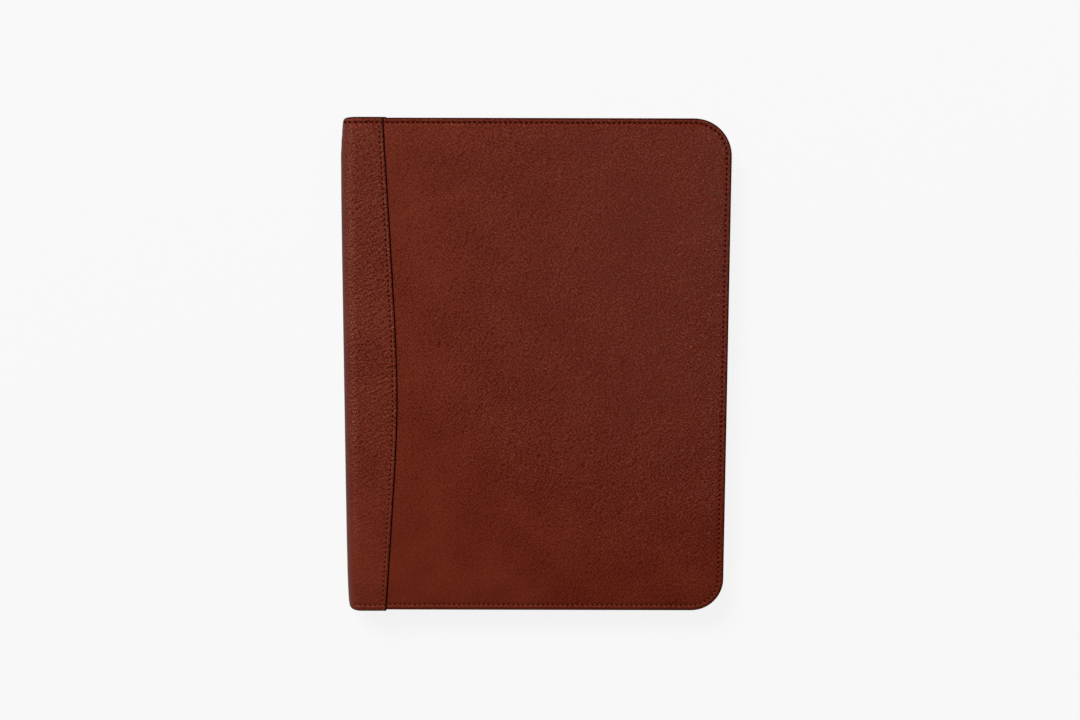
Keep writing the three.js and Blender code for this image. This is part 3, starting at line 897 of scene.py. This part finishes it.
def tape_section(face, inward):
    """Section of one tape: a lap on its cover's inner face, a bend and a wall that ends in
    a cord between the teeth. face gives the cover's inner face by X and inset, and inward
    points from there to the teeth."""
    outside = CHAIN_INSET - TAPE_WALL / 2
    turn = outside + TAPE_BEND
    cord_mid = ZIP_MID - inward * CORD_RISE

    def lap(depth):
        """Places on the lap, depth away from the face that is sewn to the cover."""
        return [(inset, lambda x, p=inset: face(x, p) + inward * (PIECE_GAP + depth))
                for inset in np.linspace(turn + TAPE_LAP, turn, 6)]

    def bend(radius):
        """Places on the bend from the lap to the wall."""
        middle = PIECE_GAP + TAPE_BEND
        return [(turn - radius * math.sin(angle),
                 lambda x, v=middle - radius * math.cos(angle): face(x, turn) + inward * v)
                for angle in np.linspace(0, math.pi / 2, ROUND_STEPS)[1:]]

    cord = [(CHAIN_INSET - CORD_RADIUS * math.cos(angle),
             lambda x, v=cord_mid + inward * CORD_RADIUS * math.sin(angle): v + 0 * x)
            for angle in np.linspace(-CORD_SPREAD, math.pi + CORD_SPREAD, 10)]
    return [*lap(0), *bend(TAPE_BEND), *cord, *bend(TAPE_BEND - TAPE_WALL)[::-1], *lap(TAPE_WALL)[::-1]]


def tooth(flip):
    """One tooth of the upper tape, or of the lower one where flip is -1. Its corners are
    given along the zip, out of it and up."""
    half, root, reach = TOOTH_WIDTH / 2, CHAIN_HEIGHT / 2, TOOTH_REACH
    foot, neck, tip = root - 1.2, 0.62 * half, 0.7 * half
    outline = [(-half, root), (half, root), (half, foot), (neck, 0.6), (half, -0.2),
               (tip, -reach), (-tip, -reach), (-half, -0.2), (-neck, 0.6), (-half, foot)]
    middle = (root - reach) / 2
    corners, faces = [], []

    # Its two faces, at -1 and 1, are bevelled
    for out, keep in ((-1, 0.8), (-0.82, 1), (0.82, 1), (1, 0.8)):
        corners += [(a * keep, out * CHAIN_DEPTH / 2, flip * (middle + (z - middle) * keep))
                    for a, z in outline]
    size = len(outline)
    for layer in range(3):
        for k in range(size):
            a, b = layer * size + k, layer * size + (k + 1) % size
            faces.append((a, b, b + size, a + size))
    faces += [tuple(range(size)), tuple(range(3 * size, 4 * size))]
    return np.array(corners), faces


def teeth(name, material):
    """The closed chain: teeth from both tapes by turns."""
    line = free_edge(CHAIN_INSET, SLIDER_X + STOP_LENGTH, chain_low[0] + STOP_LENGTH)
    points, ways = walk(line, TOOTH_PITCH)
    shapes = [tooth(1), tooth(-1)]
    corners, faces = [], []
    for k, (point, way) in enumerate(zip(points, ways)):
        unit, unit_faces = shapes[k % 2]
        turned = np.array([[way[0], way[1], 0], [way[1], -way[0], 0], [0, 0, 1]])
        corners.append(unit @ turned + (point[0], point[1], ZIP_MID))
        faces += [tuple(i + k * len(unit) for i in face) for face in unit_faces]
    return add_mesh(name, np.concatenate(corners), faces, [material], smooth=False)


def quadratic(start, control, end, steps):
    """Points of a quadratic curve after its start."""
    shares = (np.arange(1, steps + 1) / steps)[:, None]
    start, control, end = np.array(start), np.array(control), np.array(end)
    return ((1 - shares) ** 2 * start + 2 * shares * (1 - shares) * control + shares ** 2 * end).tolist()


def plate(lines, low, high, bevel, place):
    """Flat part with bevelled edges, from an outline and its holes. place turns a point of
    the outline and a depth into a place in the row frame, in millimetres."""
    work = bmesh.new()
    for line in lines:
        ring = [work.verts.new((u, v, low)) for u, v in line]
        for k, corner in enumerate(ring):
            work.edges.new((corner, ring[(k + 1) % len(ring)]))
    bmesh.ops.triangle_fill(work, use_beauty=True, edges=work.edges[:])
    raised = bmesh.ops.extrude_face_region(work, geom=work.faces[:])["geom"]
    for corner in [part for part in raised if isinstance(part, bmesh.types.BMVert)]:
        corner.co.z = high
    bmesh.ops.recalc_face_normals(work, faces=work.faces)
    rim_angle, level = 1.2, 1e-6
    rims = [edge for edge in work.edges if edge.calc_face_angle(0) > rim_angle
            and abs(edge.verts[0].co.z - edge.verts[1].co.z) < level]
    bmesh.ops.bevel(work, geom=rims, offset=bevel, segments=2, profile=0.5, affect="EDGES")
    for corner in work.verts:
        corner.co = Vector(place(*corner.co)) * MM
    made = bpy.data.meshes.new("plate")
    work.to_mesh(made)
    work.free()
    return made


def joined(name, parts, material, sharp=40):
    """One mesh object from several closed parts."""
    work = bmesh.new()
    for part in parts:
        work.from_mesh(part)
        bpy.data.meshes.remove(part)
    bmesh.ops.recalc_face_normals(work, faces=work.faces)
    mesh = bpy.data.meshes.new(name)
    work.to_mesh(mesh)
    work.free()
    mesh.materials.append(material)
    mesh.polygons.foreach_set("use_smooth", np.ones(len(mesh.polygons), bool))
    mesh.set_sharp_from_angle(angle=math.radians(sharp))
    made = bpy.data.objects.new(name, mesh)
    bpy.context.scene.collection.objects.link(made)
    return made


def tail_place(u, v, depth):
    """Place of a point of the X-Z plane at an inset from the tail edge."""
    return u, -HALF_HEIGHT + depth, v


def head_place(u, v, depth):
    """Place of a point of the X-Z plane at an inset from the head edge."""
    return u, HALF_HEIGHT - depth, v


def slider_line():
    """Outline of a slider plate: wide at the shoulders, narrow where the zip is closed."""
    half, nose, tail = SLIDER_HEIGHT / 2, SLIDER_NOSE / 2, SLIDER_LENGTH / 2
    shoulder, bulge = tail / 3, nose / 3
    line = [(SLIDER_X + tail, ZIP_MID - nose), (SLIDER_X + tail, ZIP_MID + nose)]
    line += quadratic(line[-1], (SLIDER_X, ZIP_MID + nose), (SLIDER_X - shoulder, ZIP_MID + half), 6)
    line += [(SLIDER_X - tail, ZIP_MID + half)]
    line += quadratic(line[-1], (SLIDER_X - tail - bulge, ZIP_MID), (SLIDER_X - tail, ZIP_MID - half), 8)
    line += [(SLIDER_X - shoulder, ZIP_MID - half)]
    line += quadratic(line[-1], (SLIDER_X, ZIP_MID - nose), (SLIDER_X + tail, ZIP_MID - nose), 6)[:-1]
    return line


def flange_line(side):
    """Outline of the rim that a slider plate turns in along one side."""
    half, nose, tail = SLIDER_HEIGHT / 2, SLIDER_NOSE / 2, SLIDER_LENGTH / 2
    shoulder = tail / 3
    outer = [(SLIDER_X + tail - FLANGE_INSET, nose), (SLIDER_X - shoulder, half),
             (SLIDER_X - tail + FLANGE_INSET, half)]
    path = [outer[0], *quadratic(outer[0], (SLIDER_X, nose), outer[1], 6), outer[2]]
    inner = [(x, z - FLANGE_WALL) for x, z in path]
    return [(x, ZIP_MID + side * z) for x, z in path + inner[::-1]]


def round_line(x, z, radius, steps=20):
    """Outline of a round hole."""
    angles = np.arange(steps) / steps * 2 * math.pi
    return [(x + radius * math.cos(a), z + radius * math.sin(a)) for a in angles]


def slot_line(x, z, length, width, steps=8):
    """Outline of a slot or bar with round ends."""
    radius = width / 2
    line = []
    for side in (1, -1):
        for angle in np.linspace(-math.pi / 2, math.pi / 2, steps):
            line.append((x + side * (length / 2 - radius + radius * math.cos(angle)),
                         z + side * radius * math.sin(angle)))
    return line


def slider(material):
    """Slider body with turned-in rims, its bail and its flat pull."""
    reach = CHAIN_DEPTH / 2 + PIECE_GAP
    near, far = CHAIN_INSET - reach, CHAIN_INSET + reach
    start = SLIDER_X - SLIDER_LENGTH / 2
    post = [(start + POST_INSET, ZIP_MID - POST_HEIGHT / 2), (start + POST_LENGTH, ZIP_MID),
            (start + POST_INSET, ZIP_MID + POST_HEIGHT / 2)]
    parts = [plate([slider_line()], near - SLIDER_PLATE, near, PLATE_BEVEL, tail_place),
             plate([slider_line()], far, far + SLIDER_PLATE, PLATE_BEVEL, tail_place),
             plate([post], near - PLATE_BITE, far + PLATE_BITE, POST_BEVEL, tail_place)]
    rims = ((near - PLATE_BITE, near + FLANGE_REACH), (far - FLANGE_REACH, far + PLATE_BITE))
    for side in (1, -1):
        for low, high in rims:
            parts.append(plate([flange_line(side)], low, high, FLANGE_BEVEL, tail_place))
    body = joined("slider_body", parts, material)

    plate_out = near - SLIDER_PLATE
    half, inside, foot = BAIL_LENGTH / 2, BAIL_LENGTH / 2 - BAIL_WALL, 0.1
    top, under = -BAIL_RISE, BAIL_WALL - BAIL_RISE
    outer = [(half, foot), *quadratic((half, top * 0.4), (half, top), (half * 0.4, top), 5)]
    inner = [(inside, foot), *quadratic((inside, top * 0.3), (inside, under), (half * 0.3, under), 5)]
    arch = outer + [(-u, v) for u, v in outer[::-1]] + [(-u, v) for u, v in inner] + inner[::-1]

    def bail_place(u, v, w):
        """Place of a point of the bail's arch, which stands out of the outer plate."""
        return SLIDER_X + u, -HALF_HEIGHT + plate_out + v, ZIP_MID + w

    arches = [plate([arch], -BAIL_WIDTH / 2, BAIL_WIDTH / 2, BAIL_BEVEL, bail_place)]
    bail = joined("slider_bail", arches, material)

    pull_start = SLIDER_X - PULL_WIDTH / 2
    pull_mid = pull_start + PULL_LENGTH / 2
    hole_x = pull_start + PULL_LENGTH - PULL_WIDTH / 2
    eye_x = SLIDER_X + BAIL_LENGTH / 2 - BAIL_WALL / 2
    lines = [slot_line(pull_mid, ZIP_MID, PULL_LENGTH, PULL_WIDTH, 14),
             round_line(hole_x, ZIP_MID, PULL_HOLE / 2),
             slot_line(eye_x, ZIP_MID, EYE_LENGTH, EYE_WIDTH)]
    flats = [plate(lines, plate_out - PULL_WALL, plate_out - PULL_GAP, PULL_BEVEL, tail_place)]
    pull = joined("slider_pull", flats, material)
    return body, bail, pull


def stops(material):
    """Box stops: one across both tapes at the head end, and one on each tape at the tail."""
    near, far = CHAIN_INSET - CHAIN_DEPTH / 2, CHAIN_INSET + CHAIN_DEPTH / 2
    head_stop = slot_line(chain_low[0] + STOP_LENGTH / 2, ZIP_MID, STOP_LENGTH, STOP_WIDTH)
    parts = [plate([head_stop], near, far, STOP_BEVEL, head_place)]
    for side in (1, -1):
        z = ZIP_MID + side * CORD_RISE
        tail_stop = slot_line(slider_low[0] - STOP_LENGTH / 2, z, STOP_LENGTH, TAIL_STOP_WIDTH)
        parts.append(plate([tail_stop], near, far, STOP_BEVEL, tail_place))
    return joined("zip_stops", parts, material)


# Floor, light and sky
def add_floor():
    """Pale floor that glows where the camera sees it, so that it looks even."""
    material, tree, shader = new_material("floor", {
        "Base Color": linear(FLOOR_BASE), "Roughness": 0.9, "Specular IOR Level": 0.0,
        "Emission Color": linear(FLOOR)})
    seen = add_node(tree, "ShaderNodeLightPath").outputs["Is Camera Ray"]
    glow = mapped(tree, seen, 0.0, 1.0, FLOOR_BOUNCE, FLOOR_GLOW)
    tree.links.new(glow, shader.inputs["Emission Strength"])
    half, level = 4000, -0.02
    corners = [(-half, -half, level), (half, -half, level), (half, half, level), (-half, half, level)]
    floor = add_mesh("floor", corners, [(0, 1, 2, 3)], [material], smooth=False)


def add_light(name, place, target, size, power, colour, shine):
    """Soft rectangular light that gives only gloss where shine is true, and otherwise only
    lights the colour."""
    data = bpy.data.lights.new(name, "AREA")
    data.shape = "RECTANGLE"
    data.size, data.size_y = size
    data.energy = power
    data.color = colour
    lamp = bpy.data.objects.new(name, data)
    lamp.location = place
    aim = Vector(target) - Vector(place)
    lamp.rotation_euler = aim.to_track_quat("-Z", "Y").to_euler()
    lamp.visible_glossy = shine
    lamp.visible_diffuse = not shine
    bpy.context.scene.collection.objects.link(lamp)


def add_sky():
    """Dim light from all round, with a pale backdrop where the camera sees it."""
    world = bpy.data.worlds.new("studio")
    bpy.context.scene.world = world
    world.use_nodes = True
    tree = world.node_tree
    tree.nodes.clear()
    dim = add_node(tree, "ShaderNodeBackground", {"Color": (1, 1, 1, 1), "Strength": SKY_LIGHT})
    pale = add_node(tree, "ShaderNodeBackground", {"Color": linear(FLOOR), "Strength": FLOOR_GLOW})
    seen = add_node(tree, "ShaderNodeLightPath").outputs["Is Camera Ray"]
    mix = add_node(tree, "ShaderNodeMixShader", {
        0: seen, 1: dim.outputs["Background"], 2: pale.outputs["Background"]})
    add_node(tree, "ShaderNodeOutputWorld", {"Surface": mix.outputs["Shader"]})


# The folio
add_camera()
panel_leather = leather_material("panel_leather", PANEL_DARK, PANEL_LIGHT, 40, 2.0, 0, 1.0,
                                 PANEL_PEBBLES, PANEL_DEPTH)
wrap_leather = leather_material("wrap_leather", WRAP_DARK, WRAP_LIGHT, -30, 1.6, 2.4, 1.45,
                                WRAP_PEBBLES, WRAP_DEPTH)
paint = paint_material()
thread = thread_material("thread", THREAD, 0.3)
# Dark marks of painted shade at the stitch holes
hole = thread_material("stitch_hole_shade", HOLE_SHADE, 0.05)
cloth = cloth_material()
brass = brass_material()

front = cover("folio_front", front_face, front_under, 1, [panel_leather, paint])
back = cover("folio_back", back_face, back_over, -1, [panel_leather, paint])
wrap = spine("folio_spine", [wrap_leather, paint])
tape_front = band("tape_front", tape_section(lambda x, inset: front_under(x, 0, inset), -1), cloth)
tape_back = band("tape_back", tape_section(lambda x, inset: back_over(x, 0, inset), 1), cloth)
chain = teeth("zip_teeth", brass)
chain_stops = stops(brass)
slider_body, slider_bail, slider_pull = slider(brass)

for made, node, slot in (
    (front, "front_cover", "leather"), (back, "back_cover", "leather"), (wrap, "spine_wrap", "leather"),
    (tape_front, "zip_tape_front", "zip_cloth"), (tape_back, "zip_tape_back", "zip_cloth"),
    (chain, "zip_chain", "zip_metal"), (slider_body, "zip_slider", "zip_metal"),
):
    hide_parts(node)
    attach(made, "root")
for made in (chain_stops, slider_bail, slider_pull):
    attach(made, "root")

# Seams: round the three free sides, across the laps and along the laps' free edges
edge_line = free_edge(EDGE_STITCH, SEAM_START, SEAM_START) + (-SEAM_BACK, SEAM_SHIFT)
lap_places = np.linspace(EDGE_STITCH + 1 - HALF_HEIGHT, HALF_HEIGHT - EDGE_STITCH - 1, 120)
lap_line = np.column_stack([lap_edge(lap_places) - LAP_STITCH, lap_places])
for side, height, sign in (("front", front_top, 1), ("back", back_low, -1)):
    seam(side + "_edge", edge_line, EDGE_SHADE_ROWS, height, sign)
    seam(side + "_lap", lap_line, LAP_SHADE_ROWS, height, sign)

add_floor()
add_sky()
for light in LIGHTS:
    add_light(*light)
bpy.context.scene.view_settings.view_transform = "Standard"
